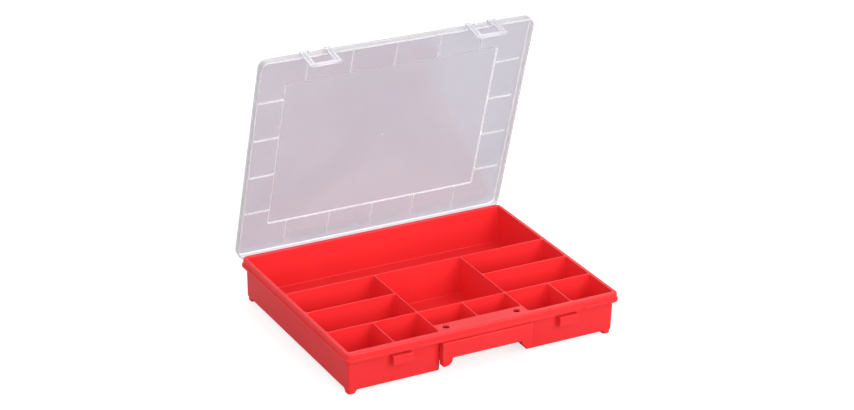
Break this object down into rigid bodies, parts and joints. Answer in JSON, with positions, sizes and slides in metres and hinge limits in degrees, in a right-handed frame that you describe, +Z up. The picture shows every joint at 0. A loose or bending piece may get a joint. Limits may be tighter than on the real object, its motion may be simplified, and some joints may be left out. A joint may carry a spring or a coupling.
{
  "type": "compartment storage box",
  "caption": "Low storage box with fixed compartments, a clear hinged lid held by two snap latches, and a slide-out carry handle.",
  "frame": {"origin": "centre of the whole part's footprint at rest, with the lid open, on the surface that the feet stand on", "axes": "+X to the right along the front, +Y from the carry handle towards the hinges, +Z up"},
  "size_m": [0.37, 0.3124, 0.3394],
  "materials": {
    "red_plastic": "satin moulded polypropylene",
    "clear_plastic": "hazy clear moulded polypropylene"
  },
  "bodies": {
    "tray": {"tray": "red_plastic"},
    "lid": {"lid": "clear_plastic"},
    "latch_left": {"latch_left": "clear_plastic"},
    "latch_right": {"latch_right": "clear_plastic"},
    "carry_handle": {"carry_handle": "red_plastic"}
  },
  "joints": [
    {"name": "lid_hinge", "type": "hinge", "parent": "tray", "child": "lid", "pos_m": [0, 0.14334, 0.0455], "axis": [-1, 0, 0], "range_deg": [-75, 35]},
    {"name": "latch_left_hinge", "type": "hinge", "parent": "lid", "child": "latch_left", "pos_m": [-0.112, 0.07717, 0.33763], "axis": [-1, 0, 0], "range_deg": [-3, 187]},
    {"name": "latch_right_hinge", "type": "hinge", "parent": "lid", "child": "latch_right", "pos_m": [0.112, 0.07717, 0.33763], "axis": [-1, 0, 0], "range_deg": [-3, 187]},
    {"name": "handle_slide", "type": "slide", "parent": "tray", "child": "carry_handle", "axis": [0, -1, 0], "range_m": [0, 0.012]}
  ]
}
